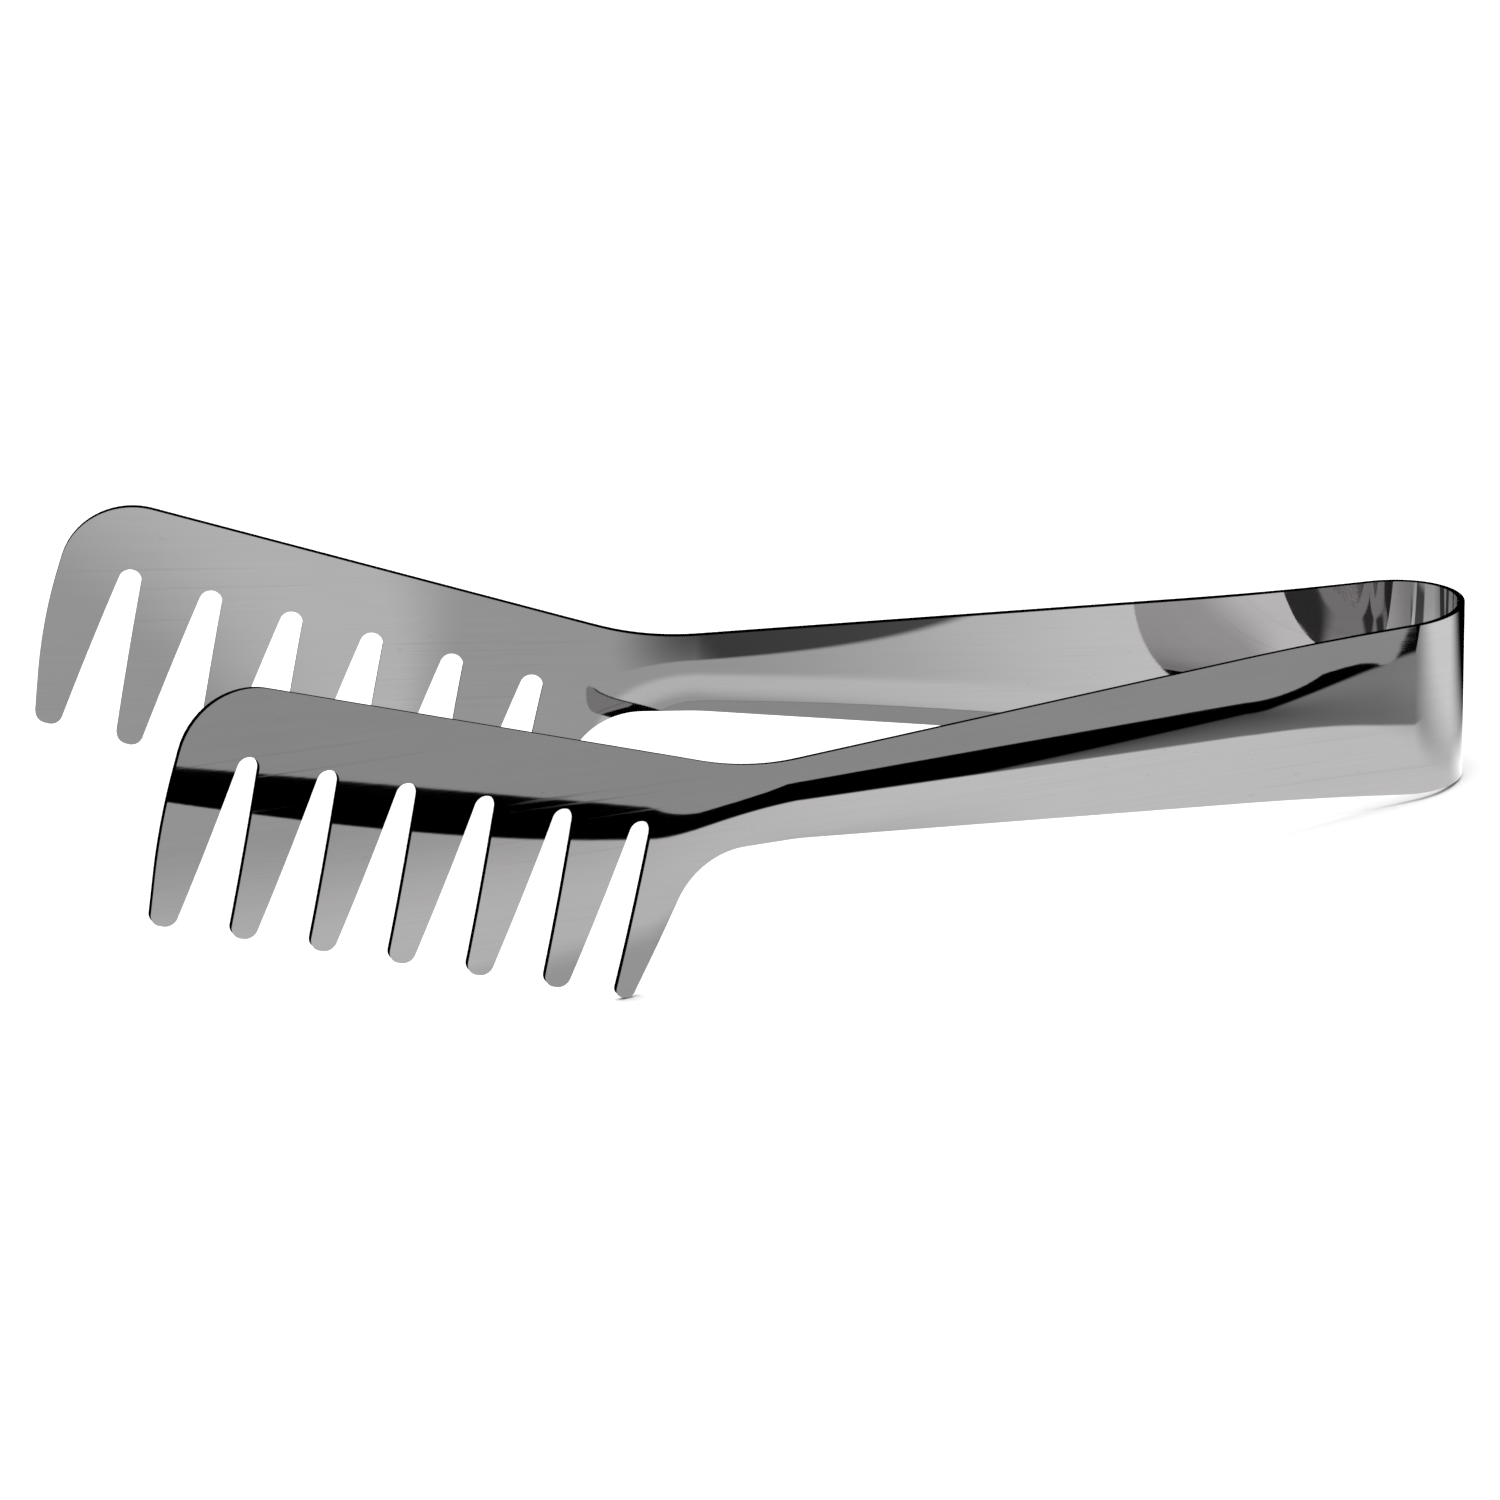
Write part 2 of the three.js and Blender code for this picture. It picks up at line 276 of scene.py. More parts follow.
def side_normals(s, z):
    """Unit normal out of the tongs: the cross product of the surface's two slopes."""
    along, up = tangents(s, z)
    return unit(np.cross(up, along))


def distance_at(x, z):
    """Distance s at which the crowned surface stands over a side-view place.

    A table of the plan gives the first guess. Then the error in x, divided by the cosine of the opening,
    is added a few times.
    """
    table = np.linspace(0, STRIP_LENGTH, TABLE_STEPS)
    s = np.interp(-x, -plan_at(table)[0], table)
    for _ in range(REFINEMENTS):
        s = s + (middle_surface(s, z)[..., 0] - x) / np.cos(plan_at(s)[2])
    return s


# ---- Outline of the flat skins: the sheet's outline moved in by the edges' round ----

SLOT_ROUND = SLOT_HALF_WIDTH * tan(45 + SLOT_FLARE / 2)
SLOT_RIM = SLOT_ROUND + EDGE_ROUND
TIP_DEPTH = TINE_LENGTH - EDGE_ROUND
FRONT_TURN = np.arctan(FRONT_TIP_INSET / (TINE_LENGTH - FRONT_EDGE_BEND))


def flank_start(flare):
    """Depth at which a slot's round top touches a flank of that flare: its centre less rim x sin(flare)."""
    return SLOT_ROUND - SLOT_RIM * np.sin(np.radians(flare))


def straight_side(at, slope):
    """A tine's side as a function of the depth: along = at + slope x depth."""
    def side(depth):
        return at + slope * depth
    return side


def slot_flank(slot, hand, flare):
    """The flank on one hand of a slot, which leans by the flare and touches the slot's round top."""
    slope = hand * tan(flare)
    reach = SLOT_RIM / np.cos(np.radians(flare))
    return straight_side(slot * SLOT_PITCH + hand * reach - slope * SLOT_ROUND, slope)


def front_edge(down):
    """Along-place of the head's front edge: straight, then an arc, then straight at the tine's taper."""
    radius = FRONT_EDGE_RADIUS - EDGE_ROUND
    start = FRONT_EDGE_BEND - FRONT_EDGE_RADIUS * np.tan(FRONT_TURN / 2)
    arc = np.clip(down - start, 0, radius * np.sin(FRONT_TURN))
    straight = np.maximum(down - start - radius * np.sin(FRONT_TURN), 0)
    bent = radius - np.sqrt(radius**2 - arc**2) + straight * np.tan(FRONT_TURN)
    return -FRONT_MARGIN + EDGE_ROUND + bent


def tine_sides(tine):
    """The two sides of a tine as functions of the depth, front side first."""
    last = tine == SLOTS
    front = slot_flank(tine - 1, 1, LAST_SLOT_FLARE if last else SLOT_FLARE) if tine else front_edge
    if not last:
        return front, slot_flank(tine, -1, SLOT_FLARE)
    slope = -tan(LAST_TINE_LEAN)
    return front, straight_side(SLOT_SPAN + LAST_TINE_ROOT - EDGE_ROUND * np.hypot(1, slope), slope)


def tine_share():
    """Shares of a tine's width at its columns: half of 1 - cos, so that they crowd at both sides."""
    return (1 - np.cos(np.linspace(0, np.pi, TINE_COLUMNS + 1))) / 2


def tip_depth(front, back, share, radius):
    """Depth at which each column of a tine ends: at the tip's straight edge or on the arc of a corner.

    A column moves along the head by slant per millimetre of depth. An arc's circle touches the tip's edge
    and one side. With off the column's place from the circle's centre, at the tip's edge, and e the depth
    past that edge, (off + slant e)^2 + (e + radius)^2 = radius^2, of which the upper root is taken.
    """
    radius = radius - EDGE_ROUND
    at_tip = lerp(front(TIP_DEPTH), back(TIP_DEPTH), share)
    slant = at_tip - lerp(front(TIP_DEPTH - 1), back(TIP_DEPTH - 1), share)
    depth = np.full_like(share, TIP_DEPTH)
    for side, hand in ((front, 1), (back, -1)):
        slope = side(TIP_DEPTH) - side(TIP_DEPTH - 1)
        off = at_tip - (side(TIP_DEPTH) - slope * radius + hand * radius * np.hypot(1, slope))
        a = slant**2 + 1
        b = slant * off + radius
        e = (np.sqrt(np.maximum(b**2 - a * off**2, 0)) - b) / a
        depth = np.where(hand * off < 0, np.minimum(depth, TIP_DEPTH + e), depth)
    return depth


def head_outline():
    """Lower and upper ends of the head's columns over six tines and slots, and each tine's first column.

    Over a tine the lower ends lie on a straight row, and over a slot on its round top. The upper ends lie on
    the head's back, or on the arc of its front corner: corner - sqrt(corner^2 - d^2) below the back.
    """
    share = tine_share()
    level = flank_start(SLOT_FLARE)
    lower, first = [], []
    count = 0
    for tine in range(SLOTS):
        front, back = tine_sides(tine)
        first.append(count)
        lower.append(np.stack([lerp(front(level), back(level), share), np.full_like(share, level)], -1))
        flare = LAST_SLOT_FLARE if tine == SLOTS - 1 else SLOT_FLARE
        ends = np.radians([SLOT_FLARE - 90, 90 - flare])
        turn = np.linspace(*ends, SLOT_COLUMNS + 1)[1:-1]
        along = tine * SLOT_PITCH + SLOT_RIM * np.sin(turn)
        lower.append(np.stack([along, SLOT_ROUND - SLOT_RIM * np.cos(turn)], -1))
        count += len(share) + len(turn)
    first.append(count)
    lower = np.concatenate(lower)
    corner = FRONT_CORNER_RADIUS - EDGE_ROUND
    from_corner = np.clip(FRONT_CORNER_RADIUS - FRONT_MARGIN - lower[:, 0], 0, corner)
    top = EDGE_ROUND - HEAD_RISE + corner - np.sqrt(corner**2 - from_corner**2)
    return head_point(lower[:, 0], lower[:, 1]), head_point(lower[:, 0], top), first


def long_edges():
    """The lower edge from the last tine's tip to the bow and the upper edge from the head to the bow."""
    tip = head_point(SLOT_SPAN + LAST_TINE_ROOT - TINE_LENGTH * tan(LAST_TINE_LEAN), TINE_LENGTH)
    root = head_point(SLOT_SPAN + LAST_TINE_ROOT, 0.0)
    throat_x = root[0] + (-NECK_BOTTOM - root[1]) * tan(HEAD_DROOP + LAST_TINE_LEAN)
    low = rounded_path([
        (tip, 0),
        ((throat_x, -NECK_BOTTOM), THROAT_RADIUS),
        ((NECK_X, -NECK_BOTTOM), ARM_EDGE_RADIUS),
        ((BOW_END_X, -BOW_BOTTOM), ARM_EDGE_RADIUS),
        ((0, -BOW_BOTTOM), 0),
    ])
    head_top = head_point(SLOT_SPAN, -HEAD_RISE)
    neck_top_x = (head_top[1] + head_top[0] * tan(HEAD_DROOP) - BOW_TOP) / (tan(HEAD_DROOP) + ARM_RISE)
    high = rounded_path([
        (head_point(0, -HEAD_RISE), 0),
        ((neck_top_x, arm_top(neck_top_x)), NECK_TOP_RADIUS),
        ((0, BOW_TOP), 0),
    ])
    return low + EDGE_ROUND * left_of(low), high - EDGE_ROUND * left_of(high)


def plate_ends():
    """Lower and upper ends of all columns from the front edge to the bow's end.

    After the head they run over the last tine, on a row that slopes from its slot to the throat, then along
    the neck at even distances, then along the arm at even x. Also gives the depths of the last tine's row.
    """
    lower, upper, first = head_outline()
    low, high = long_edges()
    low_run = length_along(low)
    high_run = length_along(high)
    share = tine_share()
    front, back = tine_sides(SLOTS)
    slot_level = flank_start(LAST_SLOT_FLARE)
    level = lerp(slot_level, head_depth(*low[1]), share)
    tine_row = head_point(lerp(front(level), back(level), share), level)

    neck_end = np.interp(NECK_X, low[:, 0], low_run)
    neck_row = walk(low, np.linspace(low_run[1], neck_end, NECK_COLUMNS + 1)[1:])
    neck_low = np.concatenate([tine_row, neck_row])
    neck_share = length_along(neck_low) / length_along(neck_low)[-1]
    above_slot = head_point(front(slot_level), EDGE_ROUND - HEAD_RISE)
    ends = np.interp([above_slot[0], NECK_X], high[:, 0], high_run)
    neck_high = walk(high, lerp(ends[0], ends[1], neck_share))

    x = np.linspace(NECK_X, BOW_END_X, ARM_COLUMNS + 1)[1:]
    arm_low = np.stack([x, np.interp(x, low[:, 0], low[:, 1])], -1)
    arm_high = np.stack([x, np.interp(x, high[:, 0], high[:, 1])], -1)
    lower = np.concatenate([lower, neck_low, arm_low])
    upper = np.concatenate([upper, neck_high, arm_high])
    return lower, upper, first, level


def strip_parameters():
    """(s, z) of the plate's grid and of each tine's rows below it, and each tine's first column.

    Every row lies the same share of the way up all columns. A tine's rows share out its depth from the
    plate to its tip, and each of its columns keeps its share of the tine's width.
    """
    lower, upper, first, last_level = plate_ends()
    rows = np.linspace(0, 1, PLATE_ROWS + 1)
    plate = lerp(lower[:, None], upper[:, None], rows[None, :, None])
    bow_s = np.linspace(BOW_LENGTH, 0, BOW_COLUMNS + 1)[1:]
    bow_low = np.full_like(bow_s, EDGE_ROUND - BOW_BOTTOM)
    bow_high = arm_top(plan_at(bow_s)[0]) - EDGE_ROUND
    bow_z = lerp(bow_low[:, None], bow_high[:, None], rows[None])
    s = np.concatenate([distance_at(plate[..., 0], plate[..., 1]), np.repeat(bow_s[:, None], len(rows), 1)])
    z = np.concatenate([plate[..., 1], bow_z])

    tines = []
    share = tine_share()
    down = np.linspace(0, 1, TINE_ROWS + 1)[None, 1:]
    for tine in range(SLOTS + 1):
        front, back = tine_sides(tine)
        last = tine == SLOTS
        level = last_level if last else np.full_like(share, flank_start(SLOT_FLARE))
        end = tip_depth(front, back, share, NARROW_TIP_RADIUS if last else TINE_TIP_RADIUS)
        depth = lerp(level[:, None], end[:, None], down)
        spot = head_point(lerp(front(depth), back(depth), share[:, None]), depth)
        tines.append((distance_at(spot[..., 0], spot[..., 1]), spot[..., 1]))
    return s, z, tines, first


def strip_mesh():
    """One skin of the half strip: (s, z) of its points, its four-sided faces, and its rim.

    A face joins two neighbouring columns and two neighbouring rows of a grid. The rim runs from the bow's
    lower corner round every tine and slot and the front edge to the bow's upper corner.
    """
    s, z, tines, first = strip_parameters()
    flat_s = np.concatenate([s.ravel()] + [tine_s.ravel() for tine_s, _ in tines])
    flat_z = np.concatenate([z.ravel()] + [tine_z.ravel() for _, tine_z in tines])
    ids = np.arange(s.size).reshape(s.shape)
    blocks = [ids]
    start = s.size
    for column, (tine_s, _) in zip(first, tines):
        own = start + np.arange(tine_s.size).reshape(tine_s.shape)
        top = ids[column : column + TINE_COLUMNS + 1, :1]
        blocks.append(np.concatenate([top, own], 1)[:, ::-1])
        start += tine_s.size
    quads = np.concatenate([
        np.stack([b[:-1, :-1], b[1:, :-1], b[1:, 1:], b[:-1, 1:]], -1).reshape(-1, 4) for b in blocks])

    rim = []
    end = len(ids)
    for column, block in zip(first[::-1], blocks[:0:-1]):
        rim.append(ids[column + TINE_COLUMNS : end, 0][::-1])
        rim += [block[-1, ::-1][1:], block[::-1, 0][1:], block[0, 1:]]
        end = column
    rim += [ids[0, 1:], ids[1:, -1]]
    rim = np.concatenate(rim)
    return flat_s, flat_z, quads, rim[np.append(True, rim[1:] != rim[:-1])]


# ---- Place in the frame ----

MM = 0.001

hinge = next(joint for joint in frame["joints"] if joint["name"] == "right_squeeze")
STANDING = np.arctan2(hinge["axis"][0], hinge["axis"][2])
TIP = np.array([
    [np.cos(STANDING), 0, np.sin(STANDING)],
    [0, 1, 0],
    [-np.sin(STANDING), 0, np.cos(STANDING)],
])


def stand(vectors):
    """Directions of the strip's frame, turned about Y by the angle at which the tongs stand."""
    return vectors @ TIP.T


def place(points):
    """Strip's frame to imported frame: turned, then moved to put the bow's axis on the hinge."""
    bow_axis = np.array([-BOW_RADIUS, 0, 0])
    return stand(points - bow_axis) * MM + np.array(hinge["pos_m"])


# ---- The two halves of the strip ----


def rounded_edge(s, z, rim):
    """Points, normals and (s, z) of the rows round the sheet's edge, from the outer skin to the inner one.

    Each row follows the rim. Across the sheet it is a quarter circle, the flat of the cut and a quarter
    circle: at angle t the row stands out by EDGE_ROUND sin t, lies EDGE_ROUND cos t over the flat's end, and
    its normal is cos t times the face's normal plus sin t times the direction out of the sheet.
    """
    outward = left_of(np.stack([s[rim], z[rim]], -1))
    t = np.radians(np.linspace(0, 90, EDGE_ARC_STEPS + 1))
    reach = EDGE_ROUND * np.concatenate([np.sin(t), np.sin(t)[::-1]])[1:-1, None]
    depth = SHEET / 2 - EDGE_ROUND + EDGE_ROUND * np.cos(t)
    depth = np.concatenate([depth, -depth[::-1]])[1:-1, None, None]
    angle = np.concatenate([t, np.pi - t[::-1]])[1:-1, None, None]
    rim_s = s[rim] + reach * outward[:, 0]
    rim_z = z[rim] + reach * outward[:, 1]
    face = side_normals(rim_s, rim_z)
    along, up = tangents(rim_s, rim_z)
    sideways = unit(along * outward[:, :1] + up * outward[:, 1:])
    points = middle_surface(rim_s, rim_z) + depth * face
    normals = np.cos(angle) * face + np.sin(angle) * sideways
    return points, normals, np.stack([rim_s, rim_z], -1)


def half_strip(name, mirror):
    """One half of the strip: an outer and an inner skin, half the sheet to either side of the middle surface.

    The rounded edge joins the two skins, and one flat face closes the end at the bow's middle.
    """
    s, z, quads, rim = strip_mesh()
    middle = middle_surface(s, z)
    normal = side_normals(s, z)
    half = SHEET / 2
    count = len(s)
    edge, edge_normals, edge_sz = rounded_edge(s, z, rim)
    points = np.concatenate([middle + half * normal, middle - half * normal, edge.reshape(-1, 3)])
    normals = np.concatenate([normal, -normal, edge_normals.reshape(-1, 3)])
    skin_sz = np.stack([s, z], -1)
    uv = np.concatenate([skin_sz, skin_sz, edge_sz.reshape(-1, 2)])

    edge_ids = 2 * count + np.arange(edge.shape[0] * len(rim)).reshape(-1, len(rim))
    bands = np.concatenate([rim[None], edge_ids, rim[None] + count])
    band_quads = np.stack([bands[:-1, :-1], bands[:-1, 1:], bands[1:, 1:], bands[1:, :-1]], -1).reshape(-1, 4)
    faces = np.concatenate([quads, quads[:, ::-1] + count, band_quads]).tolist()
    end_column = np.flatnonzero(s == 0)
    end_column = end_column[np.argsort(z[end_column])]
    end_ring = [end_column, edge_ids[:, -1], (end_column + count)[::-1], edge_ids[::-1, 0]]
    faces.append(np.concatenate(end_ring)[::-1].tolist())
    return make_mesh(name, points, normals, uv, faces, mirror)


def make_mesh(name, points, normals, uv, faces, mirror):
    """A smooth mesh object from arrays. A mirrored one has its Y turned over and its faces reversed."""
    if mirror:
        points = points * [1, -1, 1]
        normals = normals * [1, -1, 1]
        faces = [face[::-1] for face in faces]
    mesh = bpy.data.meshes.new(name)
    mesh.from_pydata(place(points), [], faces)
    mesh.polygons.foreach_set("use_smooth", np.ones(len(faces), bool))
    layer = mesh.uv_layers.new(name="strip")
    corner = np.empty(len(mesh.loops), np.int32)
    mesh.loops.foreach_get("vertex_index", corner)
    layer.data.foreach_set("uv", (uv[corner] * MM).ravel())
    mesh.update()
    mesh.normals_split_custom_set_from_vertices(stand(normals))
    obj = bpy.data.objects.new(name, mesh)
    bpy.context.scene.collection.objects.link(obj)
    return obj


# ---- Node maths ----


class Value:
    """A number that runs through a node tree. Arithmetic on it adds Math nodes."""

    def __init__(self, tree, socket):
        self.tree = tree
        self.socket = socket

    def math(self, operation, *operands):
        """A Math node's result for its operands."""
        made = self.tree.add("ShaderNodeMath", {"operation": operation}, dict(enumerate(operands)))
        return Value(self.tree, made.outputs[0])

    def __add__(self, other):
        return self.math("ADD", self, other)

    def __sub__(self, other):
        return self.math("SUBTRACT", self, other)

    def __rsub__(self, other):
        return self.math("SUBTRACT", other, self)

    def __mul__(self, other):
        return self.math("MULTIPLY", self, other)

    def __truediv__(self, other):
        return self.math("DIVIDE", self, other)

    __radd__ = __add__
    __rmul__ = __mul__

    def low(self, other):
        """The smaller of the two."""
        return self.math("MINIMUM", self, other)

    def high(self, other):
        """The larger of the two."""
        return self.math("MAXIMUM", self, other)

    def step(self, start, end):
        """0 at start, 1 at end, and 3t^2 - 2t^3 between them."""
        made = self.tree.add("ShaderNodeMapRange", {"interpolation_type": "SMOOTHSTEP"},
                             {"Value": self, "From Min": start, "From Max": end})
        return Value(self.tree, made.outputs["Result"])

    def to(self, other, share):
        """The value a share of the way to another: self + (other - self) share."""
        return self + (other - self) * share


class Tree:
    """A node tree that starts empty."""

    def __init__(self, owner):
        owner.use_nodes = True
        self.nodes = owner.node_tree.nodes
        self.links = owner.node_tree.links
        self.nodes.clear()

    def add(self, kind, settings=None, inputs=None):
        """Adds a node: its settings first, then the values or links of its sockets."""
        made = self.nodes.new(kind)
        for key, value in (settings or {}).items():
            setattr(made, key, value)
        for key, value in (inputs or {}).items():
            if isinstance(value, Value):
                self.links.new(value.socket, made.inputs[key])
            elif isinstance(value, bpy.types.NodeSocket):
                self.links.new(value, made.inputs[key])
            else:
                made.inputs[key].default_value = value
        return made

    def parts(self, vector):
        """The three numbers of a vector socket."""
        made = self.add("ShaderNodeSeparateXYZ", None, {0: vector})
        return [Value(self, socket) for socket in made.outputs]

    def grey(self, strength):
        """White times a value."""
        made = self.add("ShaderNodeVectorMath", {"operation": "SCALE"}, {0: (1, 1, 1), "Scale": strength})
        return made.outputs[0]


def blank_material(name):
    """A new material and its empty tree."""
    material = bpy.data.materials.new(name)
    return material, Tree(material)


# ---- Polished steel ----

STEEL_COLOUR = (0.568, 0.557, 0.56)
STEEL_ROUGHNESS = 0.018
SCRATCH_ROUGHNESS = 0.03
SCRATCH_TONE = 0.05
POLISH_DEPTH = 0.00000015

# Marks: waves per metre along and across the strip, detail, and a place in the noise of their own
GRAIN = (60, 4200, 3, 0.0)
STREAKS = (14, 900, 2, 5.0)
CLOUDS = (55, 90, 3, 9.0)
LONG_SCRATCHES = (24, 1100, 1, 3.0)
SHORT_SCRATCHES = (420, 900, 0, 7.0)
LONG_SCRATCH_LEVELS = (0.69, 0.73)
SHORT_SCRATCH_LEVELS = (0.83, 0.86)


def polished_steel():
    """Steel polished along the strip: noise drawn out along it, added to the roughness, tone and height.

    A mark is a noise between 0 and 1, less a half so that it goes both ways. Scratches are the noise's peaks.
    """
    material, tree = blank_material("polished_steel")
    strip_map = tree.add("ShaderNodeUVMap", {"uv_map": "strip"})
    u, v, _ = tree.parts(strip_map.outputs[0])

    def noise(along, across, detail, seed):
        """Noise at (u along, v across, seed)."""
        at = tree.add("ShaderNodeCombineXYZ", None, {0: u * along, 1: v * across, 2: seed}).outputs[0]
        made = tree.add("ShaderNodeTexNoise", None, {"Vector": at, "Scale": 1.0, "Detail": detail})
        return Value(tree, made.outputs[0])

    grain = noise(*GRAIN)
    streaks = noise(*STREAKS)
    clouds = noise(*CLOUDS)
    scratches = noise(*LONG_SCRATCHES).step(*LONG_SCRATCH_LEVELS)
    scratches = scratches + noise(*SHORT_SCRATCHES).step(*SHORT_SCRATCH_LEVELS)
    uneven = (grain - 0.5) * 0.014 + (streaks - 0.5) * 0.01 + (clouds - 0.5) * 0.014
    rough = STEEL_ROUGHNESS + uneven + scratches * SCRATCH_ROUGHNESS
    mottle = (clouds - 0.5) * 0.07 + (streaks - 0.5) * 0.06 + (grain - 0.5) * 0.08
    tone = 1 + mottle - scratches * SCRATCH_TONE
    tint = tree.add("ShaderNodeVectorMath", {"operation": "SCALE"}, {0: STEEL_COLOUR, "Scale": tone})
    height = grain * 0.6 + streaks
    bump = tree.add("ShaderNodeBump", None, {"Strength": 1.0, "Distance": POLISH_DEPTH, "Height": height})
    surface = tree.add("ShaderNodeBsdfPrincipled", None, {
        "Metallic": 1.0,
        "Base Color": tint.outputs[0],
        "Roughness": rough,
        "Normal": bump.outputs[0],
    })
    tree.add("ShaderNodeOutputMaterial", None, {0: surface.outputs[0]})
    return material


# ---- Table, and a painted reflection of it ----

FLOOR_HALF = 12.0
FLOOR_COLOUR = (0.9, 0.9, 0.9, 1)
GLOW_LOW = (-0.4, -0.6)
GLOW_HIGH = (0.4, 0.16)

# Painted reflection of a lit sheet on the table, in millimetres: its front edge is a line that bends away
# beside the combs
SHEET_EDGE_SLOPE = 0.5
SHEET_EDGE_Y = -90
SHEET_EDGE_BEND = 0.0135
LIGHT_AT_COMBS = 0.52
LIGHT_AT_BOW = 0.88
COMBS_TO_BOW = (-20, 50)

# Painted light: a brighter strip under the left comb's tips
TIP_LIGHT = 0.25
TIP_LIGHT_FRONT = (-115, -62)
TIP_LIGHT_BACK = (-54, -44)

# Painted shadow on the table between the arms, whose front follows the left arm
BETWEEN_DIM = 0.86
BETWEEN_SLOPE = 0.2
BETWEEN_FRONT = (-31, -29)
BETWEEN_BACK = (-9, -3)
BETWEEN_LEFT = (-30, -15)
BETWEEN_RIGHT = (60, 70)

# Painted shadow behind the combs' front tines
CORNER_DIM = 0.6
CORNER_FRONT = (-16, 0)
CORNER_BACK = (60, 90)
CORNER_SIDE = (-94, -78)

# Painted light: a brighter patch beside the bow's inside
BOW_LIGHT = 0.7
BOW_LIGHT_FRONT = (-9, -1)
BOW_LIGHT_LEFT = (45, 60)

# Painted half shade beyond the sheet's edge, which widens towards the bow
SHADE_LEFT = 50
SHADE_SPREAD = 0.42
SHADE_BOW = 102
SHADE_BOW_SPREAD = 0.4
SHADE_DARK = 0.08
SHADE_LIGHT = 0.25

# Painted light round the bow's end: it grows from the front to the side and falls off behind
AROUND_START = (97, 112)
AROUND_DARK = 0.3
AROUND_LIGHT = 1.0
AROUND_LEAN = 0.6
AROUND_TURN = (72, 122)
AROUND_BACK = (-10, 26)


def pale_floor():
    """A plain matt pale surface."""
    material, tree = blank_material("pale_floor")
    surface = tree.add("ShaderNodeBsdfDiffuse", None, {"Color": FLOOR_COLOUR})
    tree.add("ShaderNodeOutputMaterial", None, {0: surface.outputs[0]})
    return material


def painted_table_reflection():
    """A painted reflection of the table, seen only by the steel: a glowing sheet with a front edge, painted
    half shade beyond it, then nothing.

    The sheet's painted light grows from the combs to the bow, times each painted shadow's 1 - dim x mask. A
    mask is a product of steps across x and y. Beyond the edge the light falls evenly over the shade's width,
    and past that the surface is clear.
    """
    material, tree = blank_material("painted_table_reflection")
    coordinates = tree.add("ShaderNodeTexCoord")
    x, y, _ = tree.parts(coordinates.outputs["Object"])
    x = x / MM
    y = y / MM
    beside_combs = x.low(0)
    edge = x * SHEET_EDGE_SLOPE + SHEET_EDGE_Y - beside_combs * beside_combs * SHEET_EDGE_BEND
    inside = y - edge
    towards_bow = x.step(*COMBS_TO_BOW)
    tips = y.step(*TIP_LIGHT_FRONT) * (1 - y.step(*TIP_LIGHT_BACK)) * (1 - towards_bow)
    between = (y - x * BETWEEN_SLOPE).step(*BETWEEN_FRONT) * (1 - y.step(*BETWEEN_BACK))
    between = between * x.step(*BETWEEN_LEFT) * (1 - x.step(*BETWEEN_RIGHT))
    corner = y.step(*CORNER_FRONT) * (1 - y.step(*CORNER_BACK)) * (1 - x.step(*CORNER_SIDE))
    by_bow = y.step(*BOW_LIGHT_FRONT) * x.step(*BOW_LIGHT_LEFT)
    light = LIGHT_AT_COMBS + towards_bow * (LIGHT_AT_BOW - LIGHT_AT_COMBS) + tips * TIP_LIGHT
    light = light * (1 - between * BETWEEN_DIM) * (1 - corner * CORNER_DIM) * (1 + by_bow * BOW_LIGHT)

    width = ((x - SHADE_LEFT) * SHADE_SPREAD).high(1) + (x - SHADE_BOW).high(0) * SHADE_BOW_SPREAD
    shade = SHADE_DARK + (1 + inside / width).high(0).low(1) * (SHADE_LIGHT - SHADE_DARK)
    lit = shade.to(light, inside.step(-1, 1))
    side = AROUND_DARK + (x + y * AROUND_LEAN).step(*AROUND_TURN) * (AROUND_LIGHT - AROUND_DARK)
    around = side * (1 - y.step(*AROUND_BACK))
    strength = lit.to(around, x.step(*AROUND_START))

    glow = tree.add("ShaderNodeEmission", None, {"Color": tree.grey(strength)})
    clear = tree.add("ShaderNodeBsdfTransparent")
    cover = (inside + width).step(-1, 1)
    mix = tree.add("ShaderNodeMixShader", None, {0: cover, 1: clear.outputs[0], 2: glow.outputs[0]})
    tree.add("ShaderNodeOutputMaterial", None, {0: mix.outputs[0]})
    return material


def flat_sheet(name, low, high, material):
    """A flat rectangle at table level between two corners, an object of its own apart from the tongs."""
    mesh = bpy.data.meshes.new(name)
    corners = [(low[0], low[1]), (high[0], low[1]), (high[0], high[1]), (low[0], high[1])]
    mesh.from_pydata([(x, y, 0) for x, y in corners], [], [(0, 1, 2, 3)])
    obj = bpy.data.objects.new(name, mesh)
    obj.data.materials.append(material)
    bpy.context.scene.collection.objects.link(obj)
    return obj


# ---- Studio ----

# A black band goes round at table level. Its top is an elevation in degrees.
BAND_TOP = -16
BAND_TOP_BEHIND = 33
BAND_SOFT = (-0.08, 0.08)
BEHIND = (95, 125)
BAND_TURN = 35
BAND_TURN_LENGTH = 6.3
BAND_TURN_DROP = 0.6
WALL_LIGHT = 0.424
OVERHEAD_LIGHT = 0.904
WALL_TO_OVERHEAD = (5, 55)
BACKDROP = 0.72


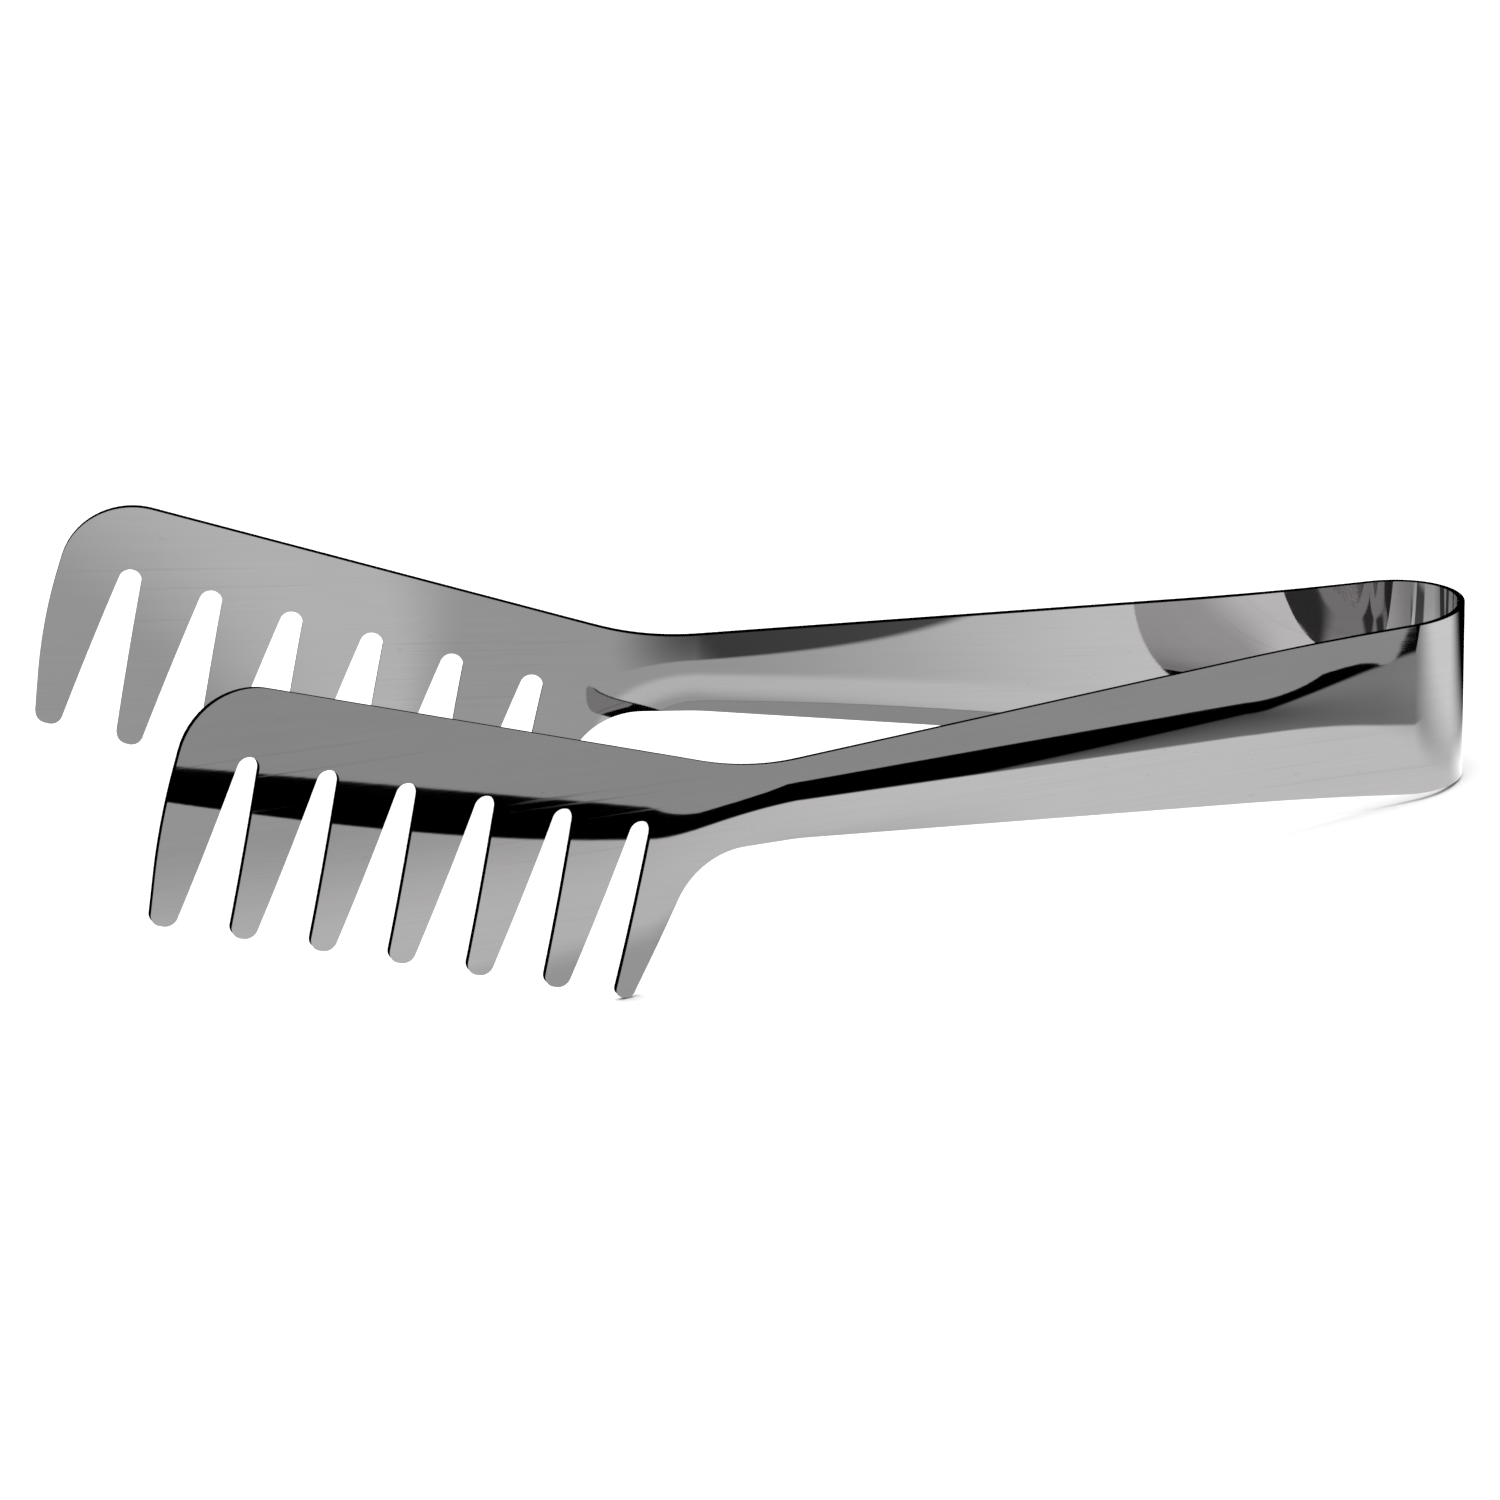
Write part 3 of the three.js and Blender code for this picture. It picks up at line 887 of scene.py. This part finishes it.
def studio_world():
    """What the steel sees above the table, by elevation and by azimuth from the front towards the bow.

    It is black under the band's top and light above it, brighter overhead. The band's top drops evenly as the
    azimuth falls below BAND_TURN, and rises behind. The camera itself sees a plain backdrop.
    """
    world = bpy.data.worlds.new("studio")
    bpy.context.scene.world = world
    tree = Tree(world)
    coordinates = tree.add("ShaderNodeTexCoord")
    x, y, z = tree.parts(coordinates.outputs["Generated"])
    degrees = 180 / np.pi
    elevation = z.math("ARCSINE", z) * degrees
    azimuth = x.math("ARCTAN2", x, y * -1) * degrees
    behind = azimuth.math("ABSOLUTE", azimuth).step(*BEHIND)
    top = BAND_TOP - (BAND_TURN - azimuth).high(0).low(BAND_TURN_LENGTH) * BAND_TURN_DROP
    top = top.to(BAND_TOP_BEHIND, behind)
    above = (elevation - top).step(*BAND_SOFT)
    strength = above * (WALL_LIGHT + elevation.step(*WALL_TO_OVERHEAD) * (OVERHEAD_LIGHT - WALL_LIGHT))
    seen_by_steel = tree.add("ShaderNodeBackground", None, {"Color": tree.grey(strength)})
    backdrop = tree.add("ShaderNodeBackground", None, {"Color": (1, 1, 1, 1), "Strength": BACKDROP})
    path = tree.add("ShaderNodeLightPath")
    mix = tree.add("ShaderNodeMixShader", None, {
        0: path.outputs["Is Camera Ray"],
        1: seen_by_steel.outputs[0],
        2: backdrop.outputs[0],
    })
    tree.add("ShaderNodeOutputWorld", None, {0: mix.outputs[0]})


LIGHT_SIZE = (1.6, 1.2)
LIGHT_POWER = 24
LIGHT_HEIGHT = 1.4


def top_light():
    """One soft rectangular light over the tongs, which faces straight down."""
    light = bpy.data.lights.new("top_softbox", "AREA")
    light.shape = "RECTANGLE"
    light.size, light.size_y = LIGHT_SIZE
    light.energy = LIGHT_POWER
    obj = bpy.data.objects.new("top_softbox", light)
    obj.location = (0, 0, LIGHT_HEIGHT)
    bpy.context.scene.collection.objects.link(obj)


# Camera: angles in degrees and millimetres in the strip's frame, seen from the middle of the tongs
CAMERA_TURN = -13.57
CAMERA_RISE = 18.144
CAMERA_ROLL = -0.367
CAMERA_TARGET_X = -108.5
CAMERA_DISTANCE = 1333.4
CAMERA_RIGHT = 4.153
CAMERA_UP = -1.430
CAMERA_SENSOR = 36
CAMERA_LENS = 227.26


def camera():
    """A long lens to the left of the tongs' front and above the strip's level.

    Back points from the target to the camera: (sin turn cos rise, -cos turn cos rise, sin rise). Right is
    level and square to it, up is their cross product, and the roll turns those two about back.
    """
    turn = np.radians(CAMERA_TURN)
    rise = np.radians(CAMERA_RISE)
    roll = np.radians(CAMERA_ROLL)
    back = np.array([np.sin(turn) * np.cos(rise), -np.cos(turn) * np.cos(rise), np.sin(rise)])
    right = np.array([np.cos(turn), np.sin(turn), 0])
    up = np.cross(back, right)
    right, up = np.cos(roll) * right + np.sin(roll) * up, np.cos(roll) * up - np.sin(roll) * right
    eye = np.array([CAMERA_TARGET_X, 0, 0]) + CAMERA_DISTANCE * back + CAMERA_RIGHT * right + CAMERA_UP * up
    matrix = np.eye(4)
    matrix[:3, :3] = stand(np.stack([right, up, back])).T
    matrix[:3, 3] = place(eye)
    data = bpy.data.cameras.new("camera")
    data.sensor_width = CAMERA_SENSOR
    data.lens = CAMERA_LENS
    data.clip_start = 0.01
    data.clip_end = 100
    obj = bpy.data.objects.new("camera", data)
    obj.matrix_world = Matrix(matrix.tolist())
    bpy.context.scene.collection.objects.link(obj)
    bpy.context.scene.camera = obj


# ---- Scene ----

steel = polished_steel()
bow_middle = np.zeros(3)
bow_x, bow_y, _ = plan_at(np.array([BOW_LENGTH]))
for side, mirror in (("left", False), ("right", True)):
    half = half_strip(side + "_half", mirror)
    half.data.materials.append(steel)
    bow_end = np.array([bow_x[0], -bow_y[0] if mirror else bow_y[0], 0])
    place(bow_middle)
    place(bow_end)
    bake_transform(half)
    nodes = [side + "_arm", side + "_comb"] + ([] if mirror else ["spring_bow"])
    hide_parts(*nodes)

floor = flat_sheet("floor", (-FLOOR_HALF, -FLOOR_HALF), (FLOOR_HALF, FLOOR_HALF), pale_floor())
floor.visible_glossy = False
# A glowing sheet that only the steel sees: a painted reflection of the table, with painted shadows and
# painted light in it
glow = flat_sheet("painted_table_reflection", GLOW_LOW, GLOW_HIGH, painted_table_reflection())
glow.visible_camera = False
glow.visible_diffuse = False
glow.visible_shadow = False
studio_world()
top_light()
camera()
bpy.context.scene.view_settings.view_transform = "Standard"
